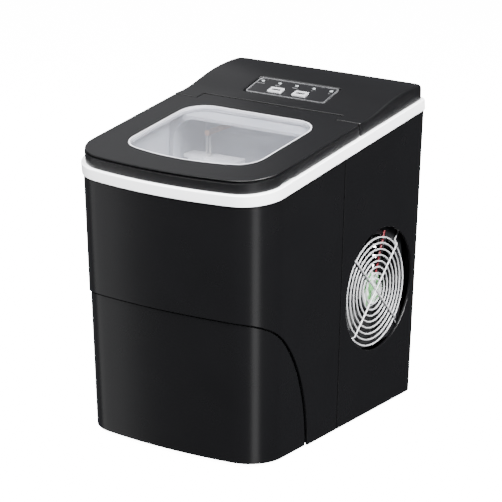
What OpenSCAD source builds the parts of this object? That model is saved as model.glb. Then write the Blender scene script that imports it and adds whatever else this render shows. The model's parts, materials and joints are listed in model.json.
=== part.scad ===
// Countertop ice maker: a tapered two-piece casing with a sloping deck on top.
// Front is -Y, right is +X, up is +Z. The origin is on the floor, under the middle of the machine.

/* [Casing] */
// Half of the casing's width at the floor end
base_half_w = 109.8; // [108:0.1:111]
// Half of the casing's width at the reference height
rim_half_w = 114.6; // [113:0.1:116]
// Front of the casing at the floor end, measured back from the origin
base_front = 144.2; // [143:0.1:146]
// Front of the casing at the reference height
rim_front = 155; // [154:0.1:156]
// Rear of the casing at the floor end
base_rear = 147.8; // [147:0.1:149]
// Rear of the casing at the reference height
rim_rear = 154.5; // [153:0.1:155]
// Reference height at which the rim sizes are taken
rim_z = 282; // [280:1:285]
// Radius of the bowed front face, seen from above
bow_r = 540; // [500:10:600]
// Radius of the upright front corners
corner_r = 40; // [38:1:42]
// Wall thickness of the moulded shells
wall = 2.5; // [2:0.1:2.6]
// Depth position of the upright seam between the front and rear housings
seam_y = 0.4; // [0:0.1:1]
// Step of the lower front panel behind the face of the housing above it
panel_step = 1.6; // [1.2:0.1:2]
// Height of the lower front panel's top edge
panel_h = 149.5; // [145:0.5:152]
// How far the lower front panel's curved edge reaches back along the side
panel_reach = 93.5; // [88:0.5:95]
// Height of the rubber feet
foot_h = 4; // [3.5:0.1:4.5]

/* [Deck] */
// Slope of the deck, front edge down
deck_slope = 7.65; // [7:0.05:8]
// Height of the deck at the origin
deck_z = 287.25; // [286:0.25:288]
// Height of the white trim band
band_h = 11.5; // [11:0.1:12]
// Height of the lid's top above the deck
lid_top = 25.5; // [25:0.1:26]
// Half of the width of the lid's rear tongue
tongue_half_w = 84; // [82:0.5:86]
// Half of the width of the lid's window
window_half_w = 78; // [74:0.5:80]

/* [Controls] */
// Slope of the control panel
panel_slope = 15; // [14:0.1:16]
// Width of the control panel
overlay_w = 95; // [94:0.5:96]
// Depth of the control panel along its slope
overlay_d = 32.5; // [32:0.5:33]
// Travel of the two buttons
button_travel = 0.8; // [0.5:0.1:0.9]

/* [Cooling] */
// Centre of the fan along the depth
fan_y = 71; // [70:0.5:71]
// Height of the fan's centre
fan_z = 133.5; // [133:0.5:134]
// Radius of the round opening in the right side
fan_hole_r = 64.2; // [64:0.1:64.4]
// Width of the square fan frame
fan_w = 120; // [119:0.5:120]
// Distance between two turns of the wire grille
grille_pitch = 6.2; // [6:0.1:6.4]
// Number of turns of the wire grille
grille_turns = 7.6; // [7:0.1:8]

/* [Ice making] */
// Depth position of the water tray's pivot
pivot_y = 22; // [21.5:0.1:22.5]
// Height of the water tray's pivot
pivot_z = 244; // [243.5:0.1:244.5]
// Inner radius of the water tray
tray_r = 33; // [32.5:0.1:33.5]
// Number of evaporator fingers
fingers = 9; // [7:2:9]

/* [Hidden] */
$fn = 48;
gap = 0.3;
slim = 0.01;
rear_corner_r = 7;
body_bottom = foot_h;
base_plate_t = 2.5;
floor_top = body_bottom + gap + base_plate_t;
// Deck coordinates: y runs up the slope, z stands square on it
lid_half_w = 112.3;
lid_front = 153.6;
lid_bottom = band_h + gap;
lid_edge_gap = 0.5;
shoulder_y = 33;
tongue_y = 45.8;
hinge_y = 42.8;
hinge_z = 23;
hinge_pin_r = 1.4;
window_front = 119.5;
window_rear = 18.5;
window_corner_r = 27;
window_bow_r = 230;
liner_half_w = 97;
liner_front = 131;
liner_rear = -6;
chamber_rear = 62;
chamber_floor = 200;
liner_floor = 34;
evap_x = 73;
tray_x = 76;
frame_x = 78.6;
fan_front = 104;
fan_t = 25;
fan_screw = 52.5;
grille_r = 58.5;
condenser_x = [44, 74];
drain_x = 60;
gland_x = -70;
port_z = 36;

// ---- shared shapes ----
function arc(c, r, a0, a1, n) =
    [for (i = [1:n]) let (a = a0 + (a1 - a0) * i / n) [c[0] + r * cos(a), c[1] + r * sin(a)]];

// Plan of the machine: bowed front, large front corners, small rear corners, inset by t
function plan(half_w, front, rear, t = 0, rc = corner_r, rr = rear_corner_r, bow = bow_r) =
    let (w = half_w - t, f = -front + t, b = rear - t,
         rf = bow - t, r = rc - t, q = max(rr - t, 1),
         cx = w - r, cy = f + rf - sqrt(pow(rf - r, 2) - cx * cx),
         a = atan2(cx, f + rf - cy))
    concat(arc([0, f + rf], rf, -90 - a, -90 + a, 20),
           arc([cx, cy], r, -90 + a, 0, 14),
           arc([w - q, b - q], q, 0, 90, 5),
           arc([-w + q, b - q], q, 90, 180, 5),
           arc([-cx, cy], r, 180, 270 - a, 14));

function at_height(low, high, z) = low + (high - low) * (z - body_bottom) / (rim_z - body_bottom);

module casing_slice(z, t) {
    translate([0, 0, z]) linear_extrude(slim) polygon(plan(at_height(base_half_w, rim_half_w, z),
        at_height(base_front, rim_front, z), at_height(base_rear, rim_rear, z), t));
}

// The tapered block that the casing is cut from, inset by t
module casing_block(t, low, high) {
    hull() {
        casing_slice(low, t);
        casing_slice(high, t);
    }
}

module deck() {
    translate([0, 0, deck_z]) rotate([deck_slope, 0, 0]) children();
}

// Everything above the deck, raised by h
module above_deck(h = 0) {
    deck() translate([-200, -250, h]) cube([400, 500, 200]);
}

// A bar along X whose side view is the given outline
module bar_x(outline, half_w) {
    translate([-half_w, 0, 0]) rotate([90, 0, 90]) linear_extrude(2 * half_w) polygon(outline);
}

// Side view of the lower front panel: a rounded quarter with a flat front
function kick_edge(reach, top) =
    concat([[-200, -10], [-200, top], [-150, top]],
           [for (a = [4:4:88]) [-150 + reach * pow(sin(a), 2 / 1.9), top * pow(cos(a), 2 / 1.9)]],
           [[-150 + reach, 0], [-150 + reach, -10]]);

module rounded_rect(w, d, r) {
    translate([-w / 2 + r, -d / 2]) square([w - 2 * r, d]);
    translate([-w / 2, -d / 2 + r]) square([w, d - 2 * r]);
    for (x = [-1, 1], y = [-1, 1]) translate([x * (w / 2 - r), y * (d / 2 - r)]) circle(r);
}

// A pipe along a list of points, with a slightly fuller ball at each bend
module pipe(points, r) {
    for (i = [0:len(points) - 2]) {
        a = points[i];
        d = points[i + 1] - a;
        translate(a) rotate([0, acos(d[2] / norm(d)), atan2(d[1], d[0])])
            cylinder(h = norm(d), r = r, $fn = 24);
        if (i > 0) translate(a) sphere(1.1 * r, $fn = 24);
    }
}

// ---- casing ----
module front_housing() {
    color([0.13, 0.13, 0.14]) difference() {
        casing_block(0, body_bottom, 330);
        casing_block(wall, body_bottom - 1, 331);
        above_deck();
        translate([-150, seam_y - gap / 2, 0]) cube([300, 200, 400]);
        bar_x(kick_edge(panel_reach + 2.5, panel_h + 0.8), 150);
    }
}

module lower_front_panel() {
    color([0.13, 0.13, 0.14]) difference() {
        intersection() {
            casing_block(panel_step, body_bottom, panel_h + 10);
            bar_x(kick_edge(panel_reach, panel_h), 150);
        }
        casing_block(panel_step + wall, body_bottom - 1, panel_h + 11);
    }
}

module rear_housing() {
    color([0.13, 0.13, 0.14]) difference() {
        casing_block(0, body_bottom, 330);
        casing_block(wall, body_bottom - 1, 331);
        above_deck();
        translate([-150, seam_y + gap / 2 - 200, 0]) cube([300, 200, 400]);
        translate([90, fan_y + 3.5, fan_z + 1.2]) rotate([0, 90, 0])
            cylinder(h = 40, r = fan_hole_r, $fn = 96);
        rear_face() translate([-95, -10, 16]) cube([190, 20, 250]);
        for (i = [0:9]) translate([-130, 40, 90 + 11 * i]) cube([40, 80, 5]);
    }
}

// Frame of the leaning rear face: y = 0 on the face, z up along it
rear_draft = atan((rim_rear - base_rear) / (rim_z - body_bottom));
module rear_face() {
    translate([0, base_rear, body_bottom]) rotate([-rear_draft, 0, 0]) children();
}

module back_panel() {
    color([0.16, 0.16, 0.17]) difference() {
        rear_face() union() {
            translate([-99, -5.8, 12]) cube([198, 3, 258]);
            translate([-94.5, -3, 16.5]) cube([189, 2.5, 249]);
        }
        for (i = [0:13], x = [-80, 5]) translate([x, 135, 96 + 11 * i]) cube([75, 25, 5]);
        translate([drain_x, 135, port_z]) rotate([-90, 0, 0]) cylinder(h = 20, r = 10);
        translate([gland_x, 135, port_z]) rotate([-90, 0, 0]) cylinder(h = 20, r = 7);
        rear_face() for (p = back_screws) translate([p[0], -12, p[1]]) rotate([-90, 0, 0])
            cylinder(h = 20, r = 1.9);
    }
}

back_screws = [[-88, 23], [88, 23], [-88, 141], [88, 141], [-88, 259], [88, 259]];
module back_panel_screws() {
    color([0.7, 0.7, 0.72]) rear_face() for (p = back_screws) translate([p[0], 0, p[1]])
        rotate([-90, 0, 0]) {
        translate([0, 0, -12]) cylinder(h = 12, r = 1.7);
        translate([0, 0, -0.3]) difference() {
            cylinder(h = 2, r = 3.6);
            for (a = [0, 90]) rotate(a) translate([-2, -0.4, 1]) cube([4, 0.8, 2]);
        }
    }
}

foot_places = [[-84, -104], [84, -104], [-88, 126], [88, 126]];
module base_plate() {
    color([0.3, 0.3, 0.32]) difference() {
        translate([0, 0, body_bottom + gap]) linear_extrude(base_plate_t)
            polygon(plan(base_half_w, base_front, base_rear, panel_step + wall + 0.8));
        for (p = foot_places) translate([p[0], p[1], 0]) cylinder(h = 20, r = 3.2);
        for (i = [0:6]) translate([10 + 12 * i, 30, 0]) cube([5, 80, 20]);
    }
}

// One foot: a rubber pad with a stud pushed up through the base plate
module foot(p) {
    color([0.07, 0.07, 0.07]) translate([p[0], p[1], 0]) {
        cylinder(h = foot_h + gap - 0.02, r = 9);
        cylinder(h = floor_top + 1.5, r = 3);
    }
}
module foot_front_left() { foot(foot_places[0]); }
module foot_front_right() { foot(foot_places[1]); }
module foot_rear_left() { foot(foot_places[2]); }
module foot_rear_right() { foot(foot_places[3]); }

// Ring that frames the deck, with an inner ledge for the liner
module deck_plan(t) {
    polygon(plan(115.6, 156.8, 158.2, t));
}

module trim_band() {
    color([0.95, 0.95, 0.95]) deck() {
        difference() {
            translate([0, 0, 0.02]) linear_extrude(band_h) deck_plan(0);
            translate([0, 0, -1]) linear_extrude(band_h + 2) deck_plan(5.4);
        }
        difference() {
            translate([0, 0, 3.5]) linear_extrude(3) deck_plan(5);
            translate([0, 0, 3]) linear_extrude(4) deck_plan(10);
        }
    }
}

// ---- top cover and controls ----
// Side view of the rear cover, from its front lip over the hump and down the back, lowered by d
function deck_line(y, h) = deck_z + tan(deck_slope) * y + h / cos(deck_slope);
hump_start = 46;
hump_r = 218.6;
hump_y = 80;
function hump_z(y) = y < hump_start ? deck_line(y, lid_top) :
    y < 62 ? deck_line(hump_start, lid_top) + (y - hump_start) * tan(deck_slope)
        + pow(y - hump_start, 2) / 32 * (tan(panel_slope) - tan(deck_slope)) :
    y < hump_y ? hump_z(61.999) + (y - 62) * tan(panel_slope) :
    hump_z(hump_y - 0.001) + sqrt(pow(hump_r, 2) - pow(hump_r * sin(panel_slope) - (y - hump_y), 2))
        - hump_r * cos(panel_slope);
function cover_side(d) = concat(
    [[20, 250], [20, deck_line(20, lid_top) - d]],
    [for (y = [40, 46, 50, 54, 58, 62]) [y, hump_z(y) - d]],
    [for (y = [80:5:148]) [y, hump_z(y) - d]],
    [for (a = [80:-20:0]) [147.6 + (7 - d) * cos(a), hump_z(148) - 7 + (7 - d) * sin(a)]],
    [[154.6 - d, 250]]);

module cover_block(t) {
    intersection() {
        bar_x(cover_side(t), 120);
        translate([0, 0, 250]) linear_extrude(120) polygon(plan(112.5, 140, 154.6, t, corner_r, 9));
        above_deck(lid_bottom);
        deck() translate([-150, shoulder_y + lid_edge_gap + t, 0]) cube([300, 200, 100]);
    }
}

panel_y = 79;
module panel_frame() {
    translate([0, panel_y, hump_z(panel_y)]) rotate([panel_slope, 0, 0]) children();
}

led_x = [for (i = [-2:2]) 20.8 * i];
button_x = [-16, 13.5];
button_size = [16.4, 10.4];
led_y = 9.5;
button_y = -5.8;
pocket_depth = 2;

module top_cover() {
    color([0.17, 0.17, 0.18]) difference() {
        union() {
            difference() {
                cover_block(0);
                cover_block(wall);
            }
            panel_frame() translate([-56, -20, -6]) cube([112, 40, 5]);
            for (x = [-1, 1]) deck() translate([x * 89 - 4.4, 38.3, 17]) cube([8.8, 9, 8]);
        }
        deck() translate([-tongue_half_w - lid_edge_gap, 0, 0])
            cube([2 * tongue_half_w + 2 * lid_edge_gap, 47, 60]);
        deck() translate([-100, hinge_y, hinge_z]) rotate([0, 90, 0])
            cylinder(h = 200, r = hinge_pin_r + 0.06, $fn = 32);
        panel_frame() translate([0, 0, -pocket_depth]) linear_extrude(20)
            rounded_rect(overlay_w + 5, overlay_d + 4, 4);
        panel_frame() for (x = led_x) translate([x, led_y, -20]) cylinder(h = 30, r = 1.9, $fn = 24);
        panel_frame() for (x = button_x) translate([x - button_size[0] / 2 + 0.7,
            button_y - button_size[1] / 2 + 0.7, -20])
            cube([button_size[0] - 1.4, button_size[1] - 1.4, 30]);
    }
}

overlay_t = 1;
module control_overlay() {
    color([0.1, 0.1, 0.11]) panel_frame() difference() {
        translate([0, 0, -pocket_depth + 0.02]) linear_extrude(overlay_t)
            rounded_rect(overlay_w - 2, overlay_d - 2, 3);
        for (x = led_x) translate([x, led_y, -20]) cylinder(h = 30, r = 1.9, $fn = 24);
        for (x = button_x) translate([x - button_size[0] / 2 - 0.4, button_y - button_size[1] / 2 - 0.4,
            -20])
            cube([button_size[0] + 0.8, button_size[1] + 0.8, 30]);
    }
}

module overlay_outline() {
    color([0.75, 0.75, 0.77]) panel_frame() difference() {
        translate([0, 0, -pocket_depth + 0.02]) linear_extrude(overlay_t + 0.5)
            rounded_rect(overlay_w + 0.8, overlay_d + 0.8, 4.4);
        translate([0, 0, -10]) linear_extrude(20) rounded_rect(overlay_w - 1.8, overlay_d - 1.8, 3.1);
    }
}

module indicator_lenses() {
    color([0.75, 0.76, 0.78]) panel_frame() for (x = led_x) translate([x, led_y, -6.4]) {
        cylinder(h = 5.9, r = 1.8, $fn = 24);
        translate([0, 0, -1.2]) cylinder(h = 1.3, r = 2.6, $fn = 24);
    }
}

// A key cap with a stem; its top stands proud of the overlay
module button(x) {
    color([0.78, 0.78, 0.8]) panel_frame() translate([x, button_y, 0]) {
        translate([0, 0, -pocket_depth + button_travel + 0.1]) linear_extrude(1.2)
            rounded_rect(button_size[0], button_size[1], 1.2);
        translate([-4, -3, -9]) cube([8, 6, 9 - pocket_depth + button_travel + 0.2]);
    }
}
module button_power() { button(button_x[0]); }
module button_select() { button(button_x[1]); }

module control_board() {
    color([0.1, 0.35, 0.2]) panel_frame() {
        translate([-50, -18, -14.4]) cube([100, 36, 1.6]);
        for (x = button_x) translate([x - 3, button_y - 3, -12.82]) cube([6, 6, 2.7]);
        for (x = led_x) translate([x, led_y, -12.82]) cylinder(h = 4.9, r = 1.5, $fn = 24);
        for (x = [-46, 46]) translate([x, 0, -12.82]) cylinder(h = 6.8, r = 2.5, $fn = 24);
    }
}

// ---- lid ----
module lid_plan(t) {
    difference() {
        polygon(plan(lid_half_w, lid_front, tongue_y, t, corner_r, 2.5));
        for (x = [-1, 1]) translate([x * (tongue_half_w + 30 - t) - 30, shoulder_y - t]) square([60, 40]);
    }
}

module window_plan(t) {
    polygon(plan(window_half_w, window_front, window_rear, t, window_corner_r, window_corner_r,
        window_bow_r));
}

// Shadow groove under the lid's top plate, and the lift recess in each lower edge
groove_h = [22.6, 24.2];
grip_y = [-112, -86];
module lid_frame() {
    color([0.2, 0.2, 0.21]) deck() difference() {
        union() {
            difference() {
                union() {
                    translate([0, 0, lid_bottom]) linear_extrude(groove_h[0] - lid_bottom) lid_plan(0);
                    translate([0, 0, groove_h[0] - slim])
                        linear_extrude(groove_h[1] - groove_h[0] + 2 * slim) lid_plan(2);
                    translate([0, 0, groove_h[1]]) linear_extrude(lid_top - groove_h[1]) lid_plan(0.4);
                }
                translate([0, 0, lid_bottom - 1]) linear_extrude(lid_top - lid_bottom - 1.5)
                    lid_plan(wall + 0.4);
                translate([-97, hinge_y - 15, 0]) cube([194, 25, groove_h[0] - 1]);
            }
            for (x = [-1, 1]) translate([x * 79 - 5, hinge_y - 4, hinge_z - 3.5]) cube([10, 6.9, 4]);
        }
        linear_extrude(40) window_plan(0);
        for (x = [-1, 1]) translate([x * 115 - 10, grip_y[0], lid_bottom - 1])
            cube([20, grip_y[1] - grip_y[0], 3]);
        for (x = [-1, 1]) translate([x * 80, hinge_y, hinge_z]) rotate([0, 90, 0])
            cylinder(h = 12, r = hinge_pin_r + 0.02, center = true, $fn = 32);
    }
}

module lid_window() {
    color([0.8, 0.85, 0.88, 0.5]) deck() {
        translate([0, 0, lid_top - 2.7]) linear_extrude(2.1) window_plan(0.2);
        translate([0, 0, lid_top - 4.3]) linear_extrude(1.7) window_plan(-5);
    }
}

// Pale rim that hangs below the window's edge
module window_gasket() {
    color([0.88, 0.88, 0.9]) deck() translate([0, 0, lid_top - 6.1]) linear_extrude(1.8) difference() {
        window_plan(-1.5);
        window_plan(0.6);
    }
}

module lid_hinge_pins() {
    color([0.75, 0.75, 0.77]) deck() for (x = [-1, 1]) translate([x * 84, hinge_y, hinge_z])
        rotate([0, 90, 0]) cylinder(h = 17, r = hinge_pin_r, center = true, $fn = 32);
}

// ---- liner, foam and ice chamber ----
module liner_plan(t) {
    polygon(plan(liner_half_w, liner_front, liner_rear, t, 32, 5));
}

module inner_liner() {
    color([0.9, 0.9, 0.92]) difference() {
        union() {
            translate([0, 0, liner_floor]) linear_extrude(260) liner_plan(0);
            translate([-liner_half_w, liner_rear - 10, chamber_floor])
                cube([2 * liner_half_w, chamber_rear - liner_rear + 10, 100]);
            deck() translate([0, 0, 6.6]) linear_extrude(2.5) polygon(plan(109, 149.5, 65, 0, 34, 3));
        }
        translate([0, 0, liner_floor + 2]) linear_extrude(300) liner_plan(2);
        translate([2 - liner_half_w, liner_rear - 20, chamber_floor + 2])
            cube([2 * liner_half_w - 4, chamber_rear - liner_rear + 18, 150]);
        above_deck(9.1);
        for (x = [-1, 1]) translate([x * 97, pivot_y, pivot_z]) rotate([0, 90, 0])
            cylinder(h = 10, r = 4, center = true);
        translate([drain_x, -40, 20]) cylinder(h = 20, r = 2.4);
        translate([-60, -14, 40]) rotate([-90, 0, 0]) cylinder(h = 20, r = 4);
        translate([-88, pivot_y + 10, 190]) cylinder(h = 20, r = 4.5);
        tube_holes();
    }
    color([0.9, 0.9, 0.92]) for (x = [-1, 1]) translate([x * 88 - 8, -100, 104]) cube([16, 80, 4]);
}

module insulation_foam() {
    color([0.93, 0.93, 0.9]) difference() {
        translate([0, 0, 24]) linear_extrude(236) polygon(plan(104.5, 136.5, 2.5, 0, 36, 5));
        translate([0, 0, liner_floor - 0.3]) linear_extrude(300) liner_plan(-0.3);
        translate([-150, liner_rear - 14, chamber_floor - 4]) cube([300, 40, 100]);
        translate([drain_x, -40, 10]) cylinder(h = 40, r = 5);
        translate([-60, -14, 40]) rotate([-90, 0, 0]) cylinder(h = 20, r = 5);
    }
}

module divider_panel() {
    color([0.6, 0.6, 0.62]) difference() {
        translate([-104, 3, 8]) cube([208, 1.5, 186]);
        translate([-60, 0, 40]) rotate([-90, 0, 0]) cylinder(h = 20, r = 7);
        translate([drain_x, 0, 18]) rotate([-90, 0, 0]) cylinder(h = 20, r = 5);
    }
}

// Holes where the two refrigerant tubes enter the ice chamber
tube_z = 284.1;
module tube_holes() {
    for (x = [-64, 64]) translate([x, 50, tube_z]) rotate([-90, 0, 0]) cylinder(h = 20, r = 3.6);
}

// Hood over the ice chamber, with an arched mouth toward the basket
hood_top = 18.7;
hood_front = -4;
arch_half_w = 90;
arch_top = 302.5;
arch_r = 28;
module arch_bar(grow, from, to) {
    r = arch_r + grow;
    translate([0, to, 0]) rotate([90, 0, 0]) linear_extrude(to - from) {
        translate([-arch_half_w - grow, 230]) square([2 * (arch_half_w + grow), arch_top - arch_r - 230]);
        translate([arch_r - arch_half_w, 230]) square([2 * (arch_half_w - arch_r), arch_top + grow - 230]);
        for (x = [-1, 1]) translate([x * (arch_half_w - arch_r), arch_top - arch_r]) circle(r, $fn = 96);
    }
}

// Space under the hood's roof: high over the mouth, low behind the lid's hinge
module under_roof(drop) {
    difference() {
        translate([-94.5 + drop, hood_front - 20, 230]) cube([189 - 2 * drop, 120, 120]);
        above_deck(hood_top - drop);
        deck() translate([-150, 33 - drop, 10 - drop]) cube([300, 100, 100]);
    }
}

module chamber_hood() {
    color([0.88, 0.88, 0.9]) {
        difference() {
            intersection() {
                translate([-100, hood_front, 248]) cube([200, 59 - hood_front, 100]);
                under_roof(0);
            }
            arch_bar(0, hood_front - 1, hood_front + 15);
            difference() {
                intersection() {
                    translate([-100, hood_front + 2.5, 240]) cube([200, 54.5 - hood_front, 100]);
                    under_roof(2.2);
                }
                arch_bar(2, hood_front - 1, hood_front + 14);
            }
            tube_holes();
        }
        for (x = [4, 28]) translate([x - 1.5, 24, deck_line(24, 4)]) cube([3, 3, 14]);
    }
}

// ---- ice basket ----
basket_z = 108.3;
module basket_plan(t) {
    polygon(plan(86, 121, -21, t, 30, 12));
}

module ice_basket() {
    color([0.85, 0.88, 0.9]) difference() {
        union() {
            translate([0, 0, basket_z]) linear_extrude(112) basket_plan(0);
            translate([0, 0, basket_z + 108]) linear_extrude(4) basket_plan(-3);
        }
        translate([0, 0, basket_z + 2]) linear_extrude(120) basket_plan(2);
        for (x = [-3:3], y = [0:3]) translate([20 * x, -100 + 20 * y, 100])
            cylinder(h = 20, r = 5, $fn = 24);
    }
}

// ---- evaporator and its frame ----
finger_pitch = 15.6;
finger_l = 18.5;
finger_x = [for (i = [0:fingers - 1]) (i - (fingers - 1) / 2) * finger_pitch];
module evaporator() {
    color([0.78, 0.7, 0.62]) {
        translate([-evap_x, pivot_y, pivot_z]) rotate([0, 90, 0])
            cylinder(h = 2 * evap_x, r = 4.5, $fn = 32);
        for (x = finger_x) translate([x, pivot_y, pivot_z - finger_l]) {
            cylinder(h = finger_l, r = 3.5, $fn = 24);
            sphere(3.6, $fn = 24);
        }
        for (x = [-64, 64]) translate([x, pivot_y, pivot_z])
            cylinder(h = tube_z - pivot_z - 3.1, r = 3, $fn = 24);
    }
}

module evaporator_frame() {
    color([0.93, 0.93, 0.94]) difference() {
        union() {
            translate([-frame_x - 3, pivot_y - 12, pivot_z + 7]) cube([2 * frame_x + 6, 24, 8]);
            for (x = [-1, 1]) translate([x * (frame_x + 1.5) - 1.5, pivot_y - 12, pivot_z - 12])
                cube([3, 24, 27]);
            for (x = [-1, 1]) translate([x * 86 - 4.9, pivot_y - 6, pivot_z + 11]) cube([9.8, 17, 4]);
        }
        translate([-27, pivot_y - 13, pivot_z + 11]) cube([13, 26, 5]);
        translate([-100, pivot_y, pivot_z]) rotate([0, 90, 0]) cylinder(h = 200, r = 3.06, $fn = 32);
        for (x = [-64, 64]) translate([x, pivot_y, pivot_z]) cylinder(h = 40, r = 3.4, $fn = 24);
    }
}

// Trough that swings about the evaporator's own axis
module tray_section(inner, outer) {
    difference() {
        circle(outer, $fn = 96);
        circle(inner, $fn = 96);
        translate([-50, -13]) square([100, 100]);
    }
}

module water_tray() {
    color([0.86, 0.9, 0.92]) translate([0, pivot_y, pivot_z]) {
        rotate([90, 0, 90]) translate([0, 0, -tray_x]) linear_extrude(2 * tray_x)
            tray_section(tray_r, tray_r + 2);
        for (x = [-1, 1]) translate([x * (tray_x - 1), 0, 0]) rotate([90, 0, 90]) translate([0, 0, -1])
            linear_extrude(2) {
            difference() {
                circle(tray_r + 1, $fn = 96);
                translate([-50, -13]) square([100, 100]);
            }
            translate([-6, -20]) square([12, 20]);
            circle(6);
        }
        translate([-104, 0, 0]) rotate([0, 90, 0]) cylinder(h = 28.5, r = 3, $fn = 32);
        translate([75.5, 0, 0]) rotate([0, 90, 0]) cylinder(h = 10, r = 3, $fn = 32);
    }
}

module tray_motor() {
    color([0.8, 0.8, 0.78]) translate([0, pivot_y, pivot_z]) difference() {
        union() {
            translate([-108.5, 0, -12]) rotate([0, 90, 0]) cylinder(h = 11, r = 19);
            translate([-99, -8, -20]) cube([1.5, 16, 28]);
        }
        translate([-120, 0, 0]) rotate([0, 90, 0]) cylinder(h = 40, r = 3.06, $fn = 32);
    }
}

// Comb whose teeth pass between the fingers
module ice_pusher() {
    color([0.95, 0.95, 0.95]) translate([0, pivot_y, pivot_z]) rotate([-20, 0, 0]) difference() {
        union() {
            translate([-tray_x + 3.4, 24, -1]) cube([2 * tray_x - 6.8, 7, 2]);
            for (i = [0:fingers]) translate([(i - fingers / 2) * finger_pitch - 2.6, 6, -1])
                cube([5.2, 19, 2]);
            for (x = [-1, 1]) translate([x * 71.4, 0, 0]) {
                rotate([0, 90, 0]) cylinder(h = 2, r = 7, center = true, $fn = 32);
                translate([-1, 0, -1]) cube([2, 30, 2]);
            }
        }
        translate([-100, 0, 0]) rotate([0, 90, 0]) cylinder(h = 200, r = 4.56, $fn = 32);
    }
}

module ice_full_sensors() {
    color([0.12, 0.12, 0.13]) for (x = [-1, 1]) translate([x * 92.5 - 2.4, -22, 236]) cube([4.8, 14, 12]);
}

// ---- water circuit ----
module water_pump() {
    color([0.2, 0.2, 0.22]) {
        translate([-88, 13, floor_top]) cube([30, 24, 26]);
        translate([-73, 25, floor_top + 25.9]) cylinder(h = 8, r = 5.5);
    }
}

module water_hose() {
    color([0.9, 0.9, 0.9]) {
        pipe([[-73, 25, floor_top + 34], [-73, 25, 46], [-88, 32, 60], [-88, 32, 206]], 3);
        pipe([[-60, -6.5, 40], [-60, 9.2, 40], [-66, 9.2, 26], [-66, 12.98, 26]], 3);
    }
}

module drain_hose() {
    color([0.9, 0.9, 0.9]) pipe([[drain_x, -40, liner_floor - 0.2], [drain_x, -40, 18], [drain_x, 120, 18],
        [drain_x, 120, port_z], [drain_x, 138.6, port_z]], 3);
}

module drain_fitting() {
    color([0.25, 0.25, 0.27]) translate([drain_x, 0, port_z]) rotate([-90, 0, 0]) difference() {
        union() {
            translate([0, 0, 138.8]) cylinder(h = 11, r = 9.7);
            translate([0, 0, 148.5]) cylinder(h = 2, r = 13);
        }
        translate([0, 0, 140.8]) cylinder(h = 20, r = 6.04);
    }
}

module drain_plug() {
    color([0.1, 0.1, 0.1]) translate([drain_x, 0, port_z]) rotate([-90, 0, 0]) {
        translate([0, 0, 141.5]) cylinder(h = 9.5, r = 6);
        translate([0, 0, 150.8]) cylinder(h = 3, r = 10);
        translate([-7, -1.5, 153.5]) cube([14, 3, 3]);
    }
}

module cord_gland() {
    color([0.08, 0.08, 0.08]) translate([gland_x, 0, port_z]) rotate([-90, 0, 0]) difference() {
        union() {
            translate([0, 0, 139.3]) cylinder(h = 10, r = 6.8);
            translate([0, 0, 148.5]) cylinder(h = 4, r = 10);
            translate([0, 0, 139]) cylinder(h = 3, r = 9);
        }
        translate([0, 0, 130]) cylinder(h = 30, r = 3.5);
    }
}

// ---- refrigeration ----
comp = [-40, 88];
module compressor() {
    color([0.1, 0.1, 0.11]) {
        translate([comp[0], comp[1], 13]) rotate_extrude($fn = 64) polygon(concat([[0, 4], [30, 4]],
            arc([30, 20], 16, -90, 0, 6), [[46, 52], [47.5, 52], [47.5, 56], [46, 56]],
            arc([16, 84], 30, 0, 90, 9), [[0, 114]]));
        translate([comp[0] - 44, comp[1] - 44, 13]) cube([88, 88, 4.02]);
        translate([comp[0] + 40, comp[1] - 14, 60]) cube([14, 28, 30]);
        for (x = [-16, 16]) translate([comp[0] + x, comp[1], 120]) cylinder(h = 22, r = 3, $fn = 24);
    }
}

module compressor_grommets() {
    color([0.06, 0.06, 0.06]) for (x = [-1, 1], y = [-1, 1])
        translate([comp[0] + 38 * x, comp[1] + 38 * y, floor_top])
        cylinder(h = 13 - floor_top, r = 5);
}

module condenser() {
    color([0.55, 0.56, 0.58]) {
        for (i = [0:21]) translate([condenser_x[0], 11.5 + 5.2 * i, 76])
            cube([condenser_x[1] - condenser_x[0], 0.8, 116]);
        for (x = [52, 66], k = [0:5]) translate([x, 6, 86 + 19 * k]) rotate([-90, 0, 0])
            cylinder(h = 122, r = 3.2, $fn = 24);
        for (y = [9.5, 122.3]) translate([condenser_x[0], y, 74])
            cube([condenser_x[1] - condenser_x[0], 1.4, 120]);
    }
}

module fan_axis() {
    translate([0, fan_y, fan_z]) rotate([0, 90, 0]) children();
}

module fan_frame() {
    color([0.09, 0.09, 0.1]) difference() {
        union() {
            difference() {
                translate([fan_front - fan_t, fan_y - fan_w / 2, fan_z - fan_w / 2])
                    cube([fan_t, fan_w, fan_w]);
                fan_axis() translate([0, 0, 60]) cylinder(h = 60, r = 57.5, $fn = 96);
            }
            for (a = [30, 150, 270]) fan_axis() rotate(a) translate([0, -2, fan_front - 3.6])
                cube([58.5, 4, 3.6]);
            fan_axis() translate([0, 0, fan_front - 5.5]) cylinder(h = 5.5, r = 21, $fn = 64);
        }
        fan_axis() translate([0, 0, 90]) cylinder(h = fan_front - 92, r = 1.56, $fn = 32);
        for (y = [-1, 1], z = [-1, 1]) translate([70, fan_y + fan_screw * y, fan_z + fan_screw * z])
            rotate([0, 90, 0]) cylinder(h = 50, r = 2.2);
    }
}

module fan_impeller() {
    color([0.07, 0.07, 0.08]) fan_axis() {
        translate([0, 0, 80.5]) cylinder(h = 17, r = 20, $fn = 64);
        translate([0, 0, 90]) cylinder(h = 11, r = 1.5, $fn = 32);
        for (i = [0:6]) rotate(i * 360 / 7) intersection() {
            translate([18, -20, 80.5]) cube([38, 40, 17]);
            translate([0, 0, 89]) rotate([34, 0, 0]) translate([18, -22, -0.9]) cube([37.5, 44, 1.8]);
            cylinder(h = 200, r = 55.5, $fn = 96);
        }
    }
}

module fan_label() {
    color([0.35, 0.65, 0.4]) fan_axis() translate([0, 0, fan_front + 0.02])
        cylinder(h = 0.4, r = 18, $fn = 64);
}

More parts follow.
